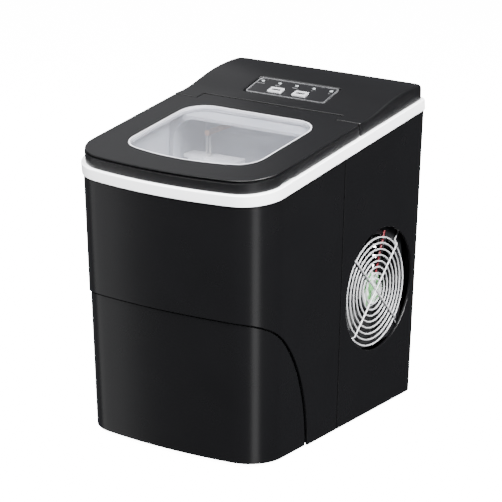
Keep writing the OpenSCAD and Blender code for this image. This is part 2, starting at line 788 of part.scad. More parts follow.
module fan_wire() {
    color([0.7, 0.1, 0.1]) pipe([[fan_front + 1.6, fan_y + 6, fan_z + 15],
        [fan_front + 1.6, fan_y + 12, fan_z + 34],
        [fan_front + 1.6, fan_y + 22, fan_z + 58]], 1);
}

// Wire spiral swept along its own centre line
wire_r = 1.1;
spoke_r = 57.5;
spiral_steps = 18;
spiral_n = floor(grille_turns * spiral_steps);
function spiral_point(i, k) =
    let (a = 225 + 360 * i / spiral_steps, r = grille_r - grille_pitch * i / spiral_steps, b = 60 * k)
    [wire_r * sin(b), (r + wire_r * cos(b)) * cos(a), (r + wire_r * cos(b)) * sin(a)];
module wire_spiral() {
    points = [for (i = [0:spiral_n], k = [0:5]) spiral_point(i, k)];
    faces = concat([[5, 4, 3, 2, 1, 0]],
        [for (i = [0:spiral_n - 1], k = [0:5]) [6 * i + k, 6 * i + (k + 1) % 6, 6 * i + 6 + (k + 1) % 6,
            6 * i + 6 + k]],
        [[for (k = [0:5]) 6 * spiral_n + k]]);
    polyhedron(points, faces);
}

module fan_grille() {
    color([0.8, 0.8, 0.82]) translate([0, fan_y, fan_z]) {
        translate([108.2, 0, 0]) wire_spiral();
        for (a = [45, 135]) rotate([a, 0, 0]) {
            translate([110.1, 0, -spoke_r]) cylinder(h = 2 * spoke_r, r = 1.2, $fn = 24);
            for (s = [-1, 1]) {
                translate([105.3, 0, (spoke_r - 1.4) * s]) rotate([0, 90, 0])
                    cylinder(h = 5, r = 1.1, $fn = 24);
                translate([105.5, 0, s > 0 ? spoke_r - 2.5 : -71])
                    cylinder(h = 73.5 - spoke_r, r = 1.15, $fn = 24);
                translate([104.3, 0, fan_screw * sqrt(2) * s]) rotate([0, 90, 0]) difference() {
                    cylinder(h = 2.4, r = 4.6, $fn = 32);
                    translate([0, 0, -1]) cylinder(h = 5, r = 2.3, $fn = 32);
                }
            }
        }
    }
}

module fan_screws() {
    color([0.7, 0.7, 0.72]) for (y = [-1, 1], z = [-1, 1])
        translate([0, fan_y + fan_screw * y, fan_z + fan_screw * z]) rotate([0, 90, 0]) {
        translate([0, 0, 76]) cylinder(h = 31, r = 2, $fn = 24);
        translate([0, 0, 106.8]) cylinder(h = 1.4, r = 3.8, $fn = 24);
    }
}

drier = [28, 132];
valve_z = 150;
module refrigerant_tubes() {
    color([0.72, 0.45, 0.25]) {
        pipe([[comp[0] + 16, comp[1], 142.1], [comp[0] + 16, comp[1], valve_z - 0.1]], 3);
        pipe([[comp[0] + 16, comp[1], valve_z + 16.1], [comp[0] + 16, comp[1], 181], [38, 110, 181],
            [38, drier[1], 181], [52, drier[1], 181], [52, 128.2, 181]], 3);
        pipe([[66, 128.2, 86], [66, drier[1], 86], [drier[0], drier[1], 86], [drier[0], drier[1], 99.9]],
            3);
        pipe([[drier[0], drier[1], 172.1], [drier[0], drier[1], 196], [64, 72, 240], [64, 72, tube_z],
            [64, pivot_y - 3, tube_z]], 3);
        pipe([[-64, pivot_y - 3, tube_z], [-64, 72, tube_z], [-64, 72, 170], [comp[0] - 16, comp[1], 160],
            [comp[0] - 16, comp[1], 142.1]], 3);
    }
}

module filter_drier() {
    color([0.72, 0.45, 0.25]) translate([drier[0], drier[1], 100]) rotate_extrude($fn = 32)
        polygon([[0, 0], [3.5, 0], [3.5, 6], [9, 14], [9, 58], [3.5, 66], [3.5, 72], [0, 72]]);
}

module hot_gas_valve() {
    color([0.75, 0.6, 0.3]) translate([comp[0] + 16, comp[1], valve_z]) {
        translate([-8, -6, 0]) cube([16, 12, 16]);
        translate([0, 5, 8]) rotate([-90, 0, 0]) cylinder(h = 24, r = 10);
    }
}

module main_board() {
    color([0.12, 0.4, 0.2]) {
        translate([-92, 84, 216]) cube([88, 56, 1.6]);
        translate([-86, 90, 217.5]) cube([28, 24, 22]);
        for (x = [-50, -32]) translate([x, 92, 217.5]) cube([14, 18, 15]);
        for (x = [-80, -64]) translate([x, 130, 217.5]) cylinder(h = 16, r = 5);
        translate([-44, 122, 217.5]) cube([30, 12, 8]);
    }
}

module board_bracket() {
    color([0.6, 0.6, 0.62]) {
        translate([-98, 80, 206]) cube([98, 61, 1.5]);
        for (x = [-88, -8], y = [88, 136]) translate([x, y, 207.4]) cylinder(h = 8.6, r = 2.5, $fn = 24);
        translate([-98, 139.5, 200]) cube([98, 1.5, 7]);
    }
}

front_housing();
lower_front_panel();
rear_housing();
back_panel();
base_plate();
foot_front_left();
foot_front_right();
foot_rear_left();
foot_rear_right();
trim_band();
top_cover();
lid_frame();
lid_window();
window_gasket();
lid_hinge_pins();
control_overlay();
overlay_outline();
indicator_lenses();
button_power();
button_select();
control_board();
inner_liner();
insulation_foam();
divider_panel();
chamber_hood();
ice_basket();
evaporator();
evaporator_frame();
water_tray();
tray_motor();
ice_pusher();
ice_full_sensors();
water_pump();
water_hose();
compressor();
compressor_grommets();
condenser();
fan_frame();
fan_impeller();
fan_label();
fan_wire();
fan_grille();
fan_screws();
refrigerant_tubes();
filter_drier();
hot_gas_valve();
main_board();
board_bracket();
back_panel_screws();
drain_fitting();
drain_hose();
drain_plug();
cord_gland();
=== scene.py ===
"""Countertop ice maker: smooth shells, materials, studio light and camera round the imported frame.

Shapes are worked out in millimetres and written to the meshes in metres.
The floor is z = 0, -Y is the front, +X the side with the fan.
"""

import json
import math

import bmesh
import bpy
from mathutils import Matrix, Vector
from mathutils.geometry import delaunay_2d_cdt

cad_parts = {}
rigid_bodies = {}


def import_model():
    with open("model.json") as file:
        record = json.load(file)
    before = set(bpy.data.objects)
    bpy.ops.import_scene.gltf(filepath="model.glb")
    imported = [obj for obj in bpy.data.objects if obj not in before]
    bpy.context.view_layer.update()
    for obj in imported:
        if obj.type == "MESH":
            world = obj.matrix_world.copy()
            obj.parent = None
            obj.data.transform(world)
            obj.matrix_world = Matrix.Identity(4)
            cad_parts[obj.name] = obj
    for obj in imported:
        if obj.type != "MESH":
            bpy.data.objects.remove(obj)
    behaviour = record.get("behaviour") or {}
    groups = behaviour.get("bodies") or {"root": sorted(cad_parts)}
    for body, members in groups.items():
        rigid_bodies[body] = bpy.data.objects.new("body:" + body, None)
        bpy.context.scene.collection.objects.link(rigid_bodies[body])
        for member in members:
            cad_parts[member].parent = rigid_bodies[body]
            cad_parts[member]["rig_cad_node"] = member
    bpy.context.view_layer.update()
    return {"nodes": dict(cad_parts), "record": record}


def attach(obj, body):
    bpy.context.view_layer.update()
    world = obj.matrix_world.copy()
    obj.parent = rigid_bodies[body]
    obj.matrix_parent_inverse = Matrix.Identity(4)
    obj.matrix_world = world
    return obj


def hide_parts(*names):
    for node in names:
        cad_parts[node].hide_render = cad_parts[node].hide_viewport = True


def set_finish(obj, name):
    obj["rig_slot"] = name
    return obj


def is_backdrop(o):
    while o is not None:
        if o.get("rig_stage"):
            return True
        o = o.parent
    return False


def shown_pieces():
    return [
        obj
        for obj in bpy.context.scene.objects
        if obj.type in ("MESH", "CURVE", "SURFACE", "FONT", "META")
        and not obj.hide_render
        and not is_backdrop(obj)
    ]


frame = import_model()
nodes = frame["nodes"]

MM = 0.001
WALL = 2.5
EDGE = 0.8
FLOOR_END = 4.0
TOP_END = 330.0
RIM_Z = 282.0
CORNER_R = 40.0
SEAM_Y = 0.4
SEAM_GAP = 1.4
DECK = math.radians(7.65)
DECK_Z = 287.25
BAND_H = 11.5
LID_TOP = 25.5
SKIRT_H = 11.8


# ---- small geometry helpers ----
def mix(a, b, k):
    return tuple(u + (v - u) * k for u, v in zip(a, b))


def smoothstep(low, high, value):
    k = min(max((value - low) / (high - low), 0.0), 1.0)
    return k * k * (3 - 2 * k)


def arc(centre, r, start, end, n):
    """n + 1 points of an arc, angles in degrees."""
    angles = [math.radians(start + (end - start) * i / n) for i in range(n + 1)]
    return [(centre[0] + r * math.cos(a), centre[1] + r * math.sin(a)) for a in angles]


def plan_front(half_w, front, t, corner=CORNER_R, bow=540.0, corner_n=14, bow_n=24):
    """From the left side's front end, round the bowed front, to the right side's, inset by t."""
    w, f, bow_t, r = half_w - t, t - front, bow - t, corner - t
    cx = w - r
    cy = f + bow_t - math.sqrt((bow_t - r) ** 2 - cx * cx)
    a = math.degrees(math.atan2(cx, f + bow_t - cy))
    left = arc((-cx, cy), r, 180, 270 - a, corner_n)
    middle = arc((0, f + bow_t), bow_t, 270 - a, 270 + a, bow_n)
    right = arc((cx, cy), r, 270 + a, 360, corner_n)
    return left + middle[1:-1] + right


def plan_rear(half_w, rear, t, corner=7.0, corner_n=6):
    """From the right side's rear end, round the two rear corners, to the left side's rear end."""
    w, b, r = half_w - t, rear - t, max(corner - t, 1.0)
    right = arc((w - r, b - r), r, 0, 90, corner_n)
    left = arc((r - w, b - r), r, 90, 180, corner_n)
    return right + left


def deck_point(x, y, h):
    """A point given on the sloping deck, as it is in the row frame."""
    s, c = math.sin(DECK), math.cos(DECK)
    return (x, y * c - h * s, DECK_Z + y * s + h * c)


def deck_height(y, h=0.0):
    """Height at depth y of the plane that lies h above the deck."""
    return DECK_Z + math.tan(DECK) * y + h / math.cos(DECK)


# ---- meshes ----
def finish_mesh(name, points, faces, body, replaced=(), slot=None, sharp=35, weighted=True):
    """A smooth-shaded piece from points in millimetres, riding on a body."""
    bm = bmesh.new()
    made = [bm.verts.new([c * MM for c in p]) for p in points]
    for face in faces:
        loop = [made[i] for i in dict.fromkeys(face)]
        if len(loop) > 2 and bm.faces.get(loop) is None:
            bm.faces.new(loop)
    bmesh.ops.remove_doubles(bm, verts=bm.verts, dist=2e-6)
    loose = [v for v in bm.verts if not v.link_faces]
    bmesh.ops.delete(bm, geom=loose, context="VERTS")
    bmesh.ops.recalc_face_normals(bm, faces=bm.faces)
    mesh = bpy.data.meshes.new(name)
    bm.to_mesh(mesh)
    bm.free()
    piece = bpy.data.objects.new(name, mesh)
    bpy.context.scene.collection.objects.link(piece)
    mesh.polygons.foreach_set("use_smooth", [True] * len(mesh.polygons))
    mesh.set_sharp_from_angle(angle=math.radians(sharp))
    if weighted:
        normals = piece.modifiers.new("even_normals", "WEIGHTED_NORMAL")
        normals.keep_sharp = True
    return place(piece, body, replaced, slot)


def place(piece, body, replaced=(), slot=None):
    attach(piece, body)
    if replaced:
        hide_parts(*replaced)
    if slot:
        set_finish(piece, slot)
    return piece


def inside(point, loops):
    """Even-odd test of a 2D point against closed loops."""
    odd = False
    for loop in loops:
        for (x0, y0), (x1, y1) in zip(loop, loop[1:] + loop[:1]):
            if (y0 > point[1]) != (y1 > point[1]):
                if point[0] < x0 + (point[1] - y0) / (y1 - y0) * (x1 - x0):
                    odd = not odd
    return odd


def bowed(spots, strength=2e-6):
    """The spots with every straight row bent a little, so that no three of them lie in line."""
    cx, cy = [sum(s[c] for s in spots) / len(spots) for c in (0, 1)]
    result = []
    for x, y in spots:
        k = 1 + strength * ((x - cx) ** 2 + (y - cy) ** 2)
        result.append((cx + (x - cx) * k, cy + (y - cy) * k))
    return result


class Sheet:
    """A surface of points and faces; its gently curved patches are triangulated inside outlines."""

    def __init__(self):
        self.points = []
        self.faces = []
        self.patches = []

    def add(self, points):
        first = len(self.points)
        self.points.extend(points)
        return list(range(first, len(self.points)))

    def grid(self, rows, closed=False):
        table = [self.add(row) for row in rows]
        self.bridge(table, closed)
        return table

    def bridge(self, table, closed=False):
        for low, high in zip(table, table[1:]):
            count = len(low)
            for i in range(count if closed else count - 1):
                j = (i + 1) % count
                self.faces.append((low[i], low[j], high[j], high[i]))

    def patch(self, loops, flat, extra=()):
        """loops are closed lists of indices, and flat gives a point's two coordinates."""
        self.patches.append((loops, flat, list(extra)))

    def triangulate(self):
        for loops, flat, extra in self.patches:
            order = [i for loop in loops for i in loop] + extra
            spots = bowed([flat(self.points[i]) for i in order])
            outlines, taken = [], 0
            for loop in loops:
                outlines.append(spots[taken:taken + len(loop)])
                taken += len(loop)
            edges, start = [], 0
            for loop in loops:
                n = len(loop)
                edges += [(start + k, start + (k + 1) % n) for k in range(n)]
                start += n
            found = delaunay_2d_cdt([Vector(s) for s in spots], edges, [], 0, 1e-5)
            for face in found[2]:
                centre = [sum(found[0][k][c] for k in face) / len(face) for c in (0, 1)]
                if all(found[3][k] for k in face) and inside(centre, outlines):
                    self.faces.append(tuple(order[found[3][k][0]] for k in face))


def shell(name, build, body, replaced, slot, thickness=WALL, edge=EDGE):
    """A closed shell with rounded edges; build(t, e) gives its surface, inset by t, pulled back by e."""
    outer, corner, inner = build(0.0, edge), build(0.0, 0.0), build(thickness, 0.0)
    outer.triangulate()
    count = len(outer.points)
    points = list(outer.points) + list(inner.points)
    faces = list(outer.faces) + [tuple(count + i for i in reversed(f)) for f in outer.faces]
    uses = {}
    for face in outer.faces:
        for a, b in zip(face, face[1:] + face[:1]):
            uses.setdefault(frozenset((a, b)), []).append((a, b))
    rim = [pairs[0] for pairs in uses.values() if len(pairs) == 1]
    columns = {}
    for v in {v for pair in rim for v in pair}:
        start, peak, end = outer.points[v], corner.points[v], inner.points[v]
        depth = max(math.dist(peak, end), 1e-6)
        turn = mix(peak, end, min(edge / depth, 0.9))
        column = [v]
        for k in (0.33, 0.67, 1.0):
            points.append(mix(mix(start, peak, k), mix(peak, turn, k), k))
            column.append(len(points) - 1)
        columns[v] = column + [count + v]
    for a, b in rim:
        for k in range(4):
            faces.append((columns[a][k], columns[b][k], columns[b][k + 1], columns[a][k + 1]))
    return finish_mesh(name, points, faces, body, replaced, slot)


def rings(name, table, body, replaced=(), slot=None, caps=False, loop=False, sharp=35):
    """A solid from matching closed rings: capped at both ends, or closed back on itself."""
    sheet = Sheet()
    rows = sheet.grid(table, closed=True)
    if loop:
        sheet.bridge([rows[-1], rows[0]], closed=True)
    if caps:
        sheet.faces += [tuple(rows[0]), tuple(rows[-1])]
    return finish_mesh(name, sheet.points, sheet.faces, body, replaced, slot, sharp)


# ---- casing ----
# Half width, front and rear of the casing at its lower end, and what each gains up to RIM_Z
CASING_LOW = (109.8, 144.2, 147.8)
CASING_GAIN = (4.8, 10.8, 6.7)
MIDDLE_Z = 150.0
SETTLE_ROUNDS = 12


def casing_size(z):
    """Half width, front and rear of the tapered casing at height z."""
    k = (z - FLOOR_END) / (RIM_Z - FLOOR_END)
    return tuple(low + gain * k for low, gain in zip(CASING_LOW, CASING_GAIN))


def between_ends(low, high, z):
    k = (z - FLOOR_END) / (TOP_END - FLOOR_END)
    return tuple(mix(a, b, k) for a, b in zip(low, high))


class FrontWall:
    """The bowed front with its two corners, as upright columns, inset by t."""

    def __init__(self, t):
        ends = [casing_size(z) for z in (FLOOR_END, TOP_END)]
        self.low, self.high = [plan_front(w, f, t) for w, f, _ in ends]
        self.t = t

    def at(self, z):
        return [(*p, z) for p in between_ends(self.low, self.high, z)]

    def column(self, i, start, end, n):
        """n + 1 points of column i, from the height start(y) to the height end(y)."""
        levels = []
        for edge in (start, end):
            z = MIDDLE_Z
            for _ in range(SETTLE_ROUNDS):
                z = edge(self.at(z)[i][1])
            levels.append(z)
        low, high = levels
        return [self.at(low + (high - low) * k / n)[i] for k in range(n + 1)]

    def side_x(self, z):
        return casing_size(z)[0] - self.t


KICK_POWER = 1.9
KICK_START = -150.0
# Reach to the rear and top height of the curve: edge of the housing, middle of the gap, lower panel
HOUSING_KICK, LAP_KICK, PANEL_KICK = (96.0, 150.3), (95.0, 150.0), (93.5, 149.5)
# How far these parts lie inside the outer face of the housings
PANEL_INSET, LAP_INSET, SEAM_LAP_INSET, SCREEN_INSET = 1.6, 4.3, 2.8, 3.2
LAP_REACH = 5.0


class KickEdge:
    """Upper edge of the lower front panel in side view, a superellipse quarter grown by grow."""

    def __init__(self, size, grow):
        self.reach, self.top = size[0] + grow, size[1] + grow

    def point(self, a):
        s, c = math.sin(a) ** (2 / KICK_POWER), math.cos(a) ** (2 / KICK_POWER)
        return KICK_START + self.reach * s, self.top * c

    def height(self, y):
        if y <= KICK_START:
            return self.top
        s = min((y - KICK_START) / self.reach, 1.0) ** (KICK_POWER / 2)
        return self.point(math.asin(min(s, 1.0)))[1]

    def down_side(self, corner_y, bottom, n):
        """n points along the side, after the corner column and down to the bottom."""
        start = math.asin(min(max((corner_y - KICK_START) / self.reach, 0), 1) ** (KICK_POWER / 2))
        end = math.acos((bottom / self.top) ** (KICK_POWER / 2))
        return [self.point(start + (end - start) * (k + 1) / n) for k in range(n)]


def side_points(sheet, wall, sign, spots):
    return sheet.add([(sign * wall.side_x(z), y, z) for y, z in spots])


def yz(p):
    return (p[1], p[2])


def front_housing_sheet(t, e):
    wall, edge = FrontWall(t), KickEdge(HOUSING_KICK, e)
    sheet = Sheet()
    count = len(wall.low)
    columns = [wall.column(i, edge.height, deck_height, 24) for i in range(count)]
    table = sheet.grid([list(row) for row in zip(*columns)])
    seam = SEAM_Y - SEAM_GAP / 2 - e
    for sign, i in ((-1, 0), (1, count - 1)):
        corner = [row[i] for row in table]
        y = sheet.points[corner[0]][1]
        top = side_points(sheet, wall, sign, [(seam, deck_height(seam))])
        rise = deck_height(seam) - FLOOR_END
        seam_line = [(seam, FLOOR_END + e + rise * k / 6) for k in range(5, -1, -1)]
        down = side_points(sheet, wall, sign, seam_line)
        curve = side_points(sheet, wall, sign, reversed(edge.down_side(y, FLOOR_END + e, 48)))
        sheet.patch([corner + top + down + curve], yz)
    return sheet


def lower_panel_sheet(t, e):
    wall, edge = FrontWall(t + PANEL_INSET), KickEdge(PANEL_KICK, -e)
    sheet = Sheet()
    count = len(wall.low)
    bottom = FLOOR_END + e
    columns = [wall.column(i, lambda y: bottom, edge.height, 16) for i in range(count)]
    table = sheet.grid([list(row) for row in zip(*columns)])
    for sign, i in ((-1, 0), (1, count - 1)):
        corner = [row[i] for row in table]
        y = sheet.points[corner[-1]][1]
        curve = side_points(sheet, wall, sign, edge.down_side(y, bottom, 48))
        sheet.patch([corner + curve], yz)
    return sheet


def panel_lap_sheet(t, e):
    """Flange of the lower panel, running behind the edge of the housing above it."""
    wall = FrontWall(LAP_INSET + t)
    count = len(wall.low)
    rows = []
    for grow in (e - LAP_REACH, 0.0, LAP_REACH - e):
        edge = KickEdge(LAP_KICK, grow)
        middle = [wall.column(i, edge.height, edge.height, 1)[0] for i in range(count)]
        down = edge.down_side(middle[-1][1], FLOOR_END + 1, 40)
        right = [(wall.side_x(z), y, z) for y, z in down]
        left = [(-x, y, z) for x, y, z in reversed(right)]
        rows.append(left + middle + right)
    sheet = Sheet()
    sheet.grid(rows)
    return sheet


def seam_lap(sign):
    """Builder of the flange behind the upright seam between the two housings, on one side."""
    def build_sheet(t, e):
        wall = FrontWall(SEAM_LAP_INSET + t)
        rows = []
        for y in (SEAM_Y - LAP_REACH + e, SEAM_Y, SEAM_Y + LAP_REACH - e):
            top = deck_height(y) - 4
            levels = [FLOOR_END + 1 + (top - FLOOR_END - 1) * k / 8 for k in range(9)]
            rows.append([(sign * wall.side_x(z), y, z) for z in levels])
        sheet = Sheet()
        sheet.grid(rows)
        return sheet

    return build_sheet


FAN_Y, FAN_Z, FAN_HOLE_R = 74.5, 134.7, 64.2
# Front, rear, lower and upper edge of every louvre
LOUVRES = [(40.0, 120.0, 90.0 + 11.0 * i, 95.0 + 11.0 * i) for i in range(10)]
SCREEN_Y, SCREEN_Z = (36.0, 80.0, 124.0), (86.0, 145.0, 204.0)
# Half width, lower and upper edge
REAR_OPENING = (95.0, 20.0, 270.0)


def dust_screen_sheet(t, e):
    """Screen behind the left louvres."""
    wall = FrontWall(SCREEN_INSET + t)
    (y0, y1, y2), (z0, z1, z2) = SCREEN_Y, SCREEN_Z
    rows = []
    for z in (z0 + e, z1, z2 - e):
        rows.append([(-wall.side_x(z), y, z) for y in (y0 + e, y1, y2 - e)])
    sheet = Sheet()
    sheet.grid(rows)
    return sheet


def slot_outline(y0, y1, z0, z1, n=6):
    """A slot with round ends."""
    r = (z1 - z0) / 2
    middle = (z0 + z1) / 2
    return arc((y1 - r, middle), r, -90, 90, n) + arc((y0 + r, middle), r, 90, 270, n)


def rear_housing_sheet(t, e):
    sheet = Sheet()
    ends = [casing_size(z) for z in (FLOOR_END, TOP_END)]
    low, high = [plan_rear(w, b, t) for w, _, b in ends]
    count = len(low)
    steps = 14

    def column(i):
        top = MIDDLE_Z
        for _ in range(SETTLE_ROUNDS):
            top = deck_height(between_ends(low, high, top)[i][1])
        levels = [FLOOR_END + e + (top - FLOOR_END - e) * k / steps for k in range(steps + 1)]
        return [(*between_ends(low, high, z)[i], z) for z in levels]

    half = count // 2
    columns = [column(i) for i in range(count)]
    right = sheet.grid([list(row) for row in zip(*columns[:half])])
    left = sheet.grid([list(row) for row in zip(*columns[half:])])
    seam = SEAM_Y + SEAM_GAP / 2 + e
    wall = FrontWall(t)
    hole = arc((FAN_Y, FAN_Z), FAN_HOLE_R + e, 0, 360, 96)[:-1]
    louvres = [slot_outline(y0 - e, y1 + e, z0 - e, z1 + e) for y0, y1, z0, z1 in LOUVRES]
    sides = ((1, [r[0] for r in right], [hole]), (-1, [r[-1] for r in left], louvres))
    for sign, corner, openings in sides:
        levels = [FLOOR_END + e + (deck_height(seam) - FLOOR_END - e) * k / 6 for k in range(7)]
        seam_line = side_points(sheet, wall, sign, [(seam, z) for z in reversed(levels)])
        loops = [corner + seam_line]
        loops += [side_points(sheet, wall, sign, spots) for spots in openings]
        sheet.patch(loops, yz)
    right_edge, left_edge = [r[-1] for r in right], [r[0] for r in left]
    w, z0, z1 = REAR_OPENING

    def on_back(x, z):
        return (x, casing_size(z)[2] - t, z)

    opening = [(-w - e, z0 - e), (w + e, z0 - e), (w + e, z1 + e), (-w - e, z1 + e)]
    frame_loop = sheet.add([on_back(x, z) for x, z in opening])
    sheet.patch([right_edge + left_edge[::-1], frame_loop], lambda p: (p[0], p[2]))
    return sheet


# ---- deck: trim band, lid, cover ----
def closed_plan(half_w, front, rear, t, rear_corner=7.0):
    return plan_front(half_w, front, t) + plan_rear(half_w, rear, t, rear_corner)


def on_deck(outline, h):
    return [deck_point(x, y, h) for x, y in outline]


BAND_HALF_W, BAND_FRONT, BAND_REAR = 115.6, 156.8, 158.2


def trim_band():
    """Sloping band between the housings and the lid, as a ring with a rounded outer face."""
    profile = [(5.4, 0.02), (0.5, 0.02), (0.15, 0.2), (0.0, 0.6), (0.0, 10.3), (0.2, 10.95),
               (0.55, 11.3), (1.1, BAND_H), (5.0, BAND_H), (5.4, 11.1)]
    table = [on_deck(closed_plan(BAND_HALF_W, BAND_FRONT, BAND_REAR, t), h) for t, h in profile]
    return rings("trim_band_shell", table, "casing", ["trim_band"], "white_gloss", loop=True)


LID_HALF_W, LID_FRONT = 112.3, 153.6
SHOULDER_Y, TONGUE_Y, TONGUE_HALF_W = 33.0, 45.8, 84.0


def lid_outline(t):
    """Lid seen square on: bowed front, shoulders and a rear tongue, inset by t."""
    half = plan_front(LID_HALF_W, LID_FRONT, t)
    w, shoulder = LID_HALF_W - t, SHOULDER_Y - t
    tongue_w, tongue = TONGUE_HALF_W - t, TONGUE_Y - t
    outer_r, inner_r = max(3.0 - t, 0.4), max(2.5 - t, 0.4)
    start = half[-1][1]
    side = [(w, start + (shoulder - outer_r - start) * k / 12) for k in range(1, 12)]
    right = side + arc((w - outer_r, shoulder - outer_r), outer_r, 0, 90, 5) + [(tongue_w, shoulder)]
    right += arc((tongue_w - inner_r, tongue - inner_r), inner_r, 0, 90, 4)
    left = [(-x, y) for x, y in reversed(right)]
    return half + right + left


WINDOW_HALF_W, WINDOW_FRONT, WINDOW_REAR, WINDOW_R, WINDOW_BOW = 78.0, 119.5, 18.5, 27.0, 230.0


def window_outline(t):
    half = plan_front(WINDOW_HALF_W, WINDOW_FRONT, t, WINDOW_R, WINDOW_BOW, 12, 20)
    return half + plan_rear(WINDOW_HALF_W, WINDOW_REAR, t, WINDOW_R, 12)


GRIP_START, GRIP_END, GRIP_BLEND, GRIP_RISE = -112.0, -86.0, 4, 2.2
GROOVE_FADE = (-104.0, -84.0)
DEEPEST = 3.0
# Lid profile from its lower edge up to its top plate: inset, height, groove depth, share of the grip
LID_PROFILE = [(0.0, 12.3, 0.0, 1.0), (0.0, 13.2, 0.0, 0.8), (0.0, 21.3, 0.0, 0.0),
               (0.05, 21.9, 0.0, 0.0), (0.25, 22.1, 0.1, 0.0), (0.4, 22.3, 2.3, 0.0),
               (0.5, 24.3, 2.3, 0.0), (0.4, 24.45, 0.2, 0.0), (0.5, 24.8, 0.1, 0.0),
               (0.9, 25.25, 0.0, 0.0), (1.6, LID_TOP, 0.0, 0.0)]


def lid_sheet(t, e):
    """Side wall, shadow groove under the top plate, and the plate round the window."""
    outer, deep = lid_outline(0.0), lid_outline(DEEPEST)

    def row(inset, h, groove, rise):
        points = []
        for a, b in zip(outer, deep):
            fade = 1 - smoothstep(*GROOVE_FADE, a[1])
            depth = t if t else inset + groove * fade
            along = smoothstep(GRIP_START, GRIP_START + GRIP_BLEND, a[1])
            along *= 1 - smoothstep(GRIP_END - GRIP_BLEND, GRIP_END, a[1])
            lift = GRIP_RISE * along * rise if abs(a[0]) > 100 else 0.0
            points.append(deck_point(*mix(a, b, depth / DEEPEST), min(h, LID_TOP - t) + lift))
        return points

    sheet = Sheet()
    start = [(0.0, SKIRT_H + e, 0.0, 1.0)]
    table = sheet.grid([row(*step) for step in start + LID_PROFILE], closed=True)
    opening = sheet.add(on_deck(window_outline(-e), LID_TOP - t))
    sheet.patch([table[-1], opening], lambda p: (p[0], p[1]))
    return sheet


def lid_window():
    """The clear panel in the lid, and the pale cut edge round it."""
    profile = [(2.0, 22.8), (0.6, 22.8), (0.3, 23.0), (0.2, 23.3),
               (0.2, 24.9), (0.35, 25.15), (0.8, 25.3), (2.0, 25.3)]
    table = [on_deck(window_outline(t), h) for t, h in profile]
    rings("lid_window_panel", table, "lid", ["lid_window"], "clear_panel", caps=True)
    profile = [(0.12, 21.4), (0.12, 25.15), (0.5, 25.36), (1.5, 25.36), (1.9, 25.2), (1.9, 21.4)]
    table = [on_deck(window_outline(t), h) for t, h in profile]
    return rings("window_edge", table, "lid", slot="pale_rim", loop=True)


HUMP_START, HUMP_BLEND, HUMP_TOP_Y, HUMP_R = 46.0, 16.0, 80.0, 218.6
PANEL_TILT = math.radians(15)
PANEL_Y = 79.0
CROWN = 0.3
COVER_HALF_W, COVER_REAR = 112.5, 154.6


def hump_z(y):
    """Height of the cover's middle line at depth y."""
    rise, steep = math.tan(DECK), math.tan(PANEL_TILT)
    if y < HUMP_START:
        return deck_height(y, LID_TOP)
    base = deck_height(HUMP_START, LID_TOP)
    panel_start = HUMP_START + HUMP_BLEND
    if y < panel_start:
        along = y - HUMP_START
        return base + along * rise + along**2 / (2 * HUMP_BLEND) * (steep - rise)
    foot = base + HUMP_BLEND * rise + HUMP_BLEND / 2 * (steep - rise)
    if y < HUMP_TOP_Y:
        return foot + (y - panel_start) * steep
    top = foot + (HUMP_TOP_Y - panel_start) * steep
    run = HUMP_R * math.sin(PANEL_TILT) - (y - HUMP_TOP_Y)
    return top + math.sqrt(HUMP_R**2 - run * run) - HUMP_R * math.cos(PANEL_TILT)


def cover_z(x, y):
    crown = CROWN * smoothstep(HUMP_START, 95, y) * (1 - (x / COVER_HALF_W) ** 2)
    return hump_z(y) + crown


def panel_point(x, d, h):
    """A point on the sloping control panel's plane, h above it."""
    s, c = math.sin(PANEL_TILT), math.cos(PANEL_TILT)
    return (x, PANEL_Y + d * c - h * s, hump_z(PANEL_Y) + d * s + h * c)


def rounded_rect(w, d, r, n=6):
    x, y = w / 2 - r, d / 2 - r
    points = []
    for cx, cy, a in ((x, y, 0), (-x, y, 90), (-x, -y, 180), (x, -y, 270)):
        points += arc((cx, cy), r, a, a + 90, n)
    return points


def denser(points, step, like=None):
    """The same closed outline, split as finely as step needs on it, or on the matching outline like."""
    like = like or points
    result = []
    for i, (a, b) in enumerate(zip(points, points[1:] + points[:1])):
        n = max(1, math.ceil(math.dist(like[i], like[(i + 1) % len(like)]) / step))
        result += [mix(a, b, k / n) for k in range(n)]
    return result


def offset_loop(loop, distances):
    """A counter-clockwise outline moved inward, by its own distance at each point."""
    moved = []
    count = len(loop)
    for i, p in enumerate(loop):
        normals = []
        for a, b in ((loop[i - 1], p), (p, loop[(i + 1) % count])):
            length = math.dist(a, b)
            normals.append(((a[1] - b[1]) / length, (b[0] - a[0]) / length))
        (ax, ay), (bx, by) = normals
        scale = distances[i] / max(1 + ax * bx + ay * by, 0.3)
        moved.append((p[0] + (ax + bx) * scale, p[1] + (ay + by) * scale))
    return moved


# The cover's front edge, a little off the lid's tongue and shoulders
NOTCH_HALF_W, NOTCH_Y, COVER_SHOULDER_Y = 84.5, 47.0, 33.5


def cover_outline():
    """Cover from above, counter-clockwise from the front: notch for the lid's tongue, sides, rear."""
    notch_y = deck_point(0, NOTCH_Y, LID_TOP)[1]
    shoulder_y = deck_point(0, COVER_SHOULDER_Y, LID_TOP)[1]
    half = [(NOTCH_HALF_W, notch_y), (NOTCH_HALF_W, shoulder_y)]
    half += arc((COVER_HALF_W - 1.5, shoulder_y + 1.5), 1.5, -90, 0, 3)
    half += arc((COVER_HALF_W - 9, COVER_REAR - 9), 9, 0, 90, 8)
    return denser(half + [(-x, y) for x, y in reversed(half)], 5)


POCKET_W, POCKET_D, POCKET_R, POCKET_DEPTH = 100.0, 36.5, 4, 2.0
FILLET_STEPS = 5
WALL_STEPS = 4
LID_SIDE_Y, CORNER_FRONT_Y = 50, 36
LID_EDGE_R, SIDE_EDGE_R, REAR_EDGE_GAIN = 0.7, 2.6, 4.0
DOME_X, DOME_Y, DOME_START = 6.0, 4.0, 24


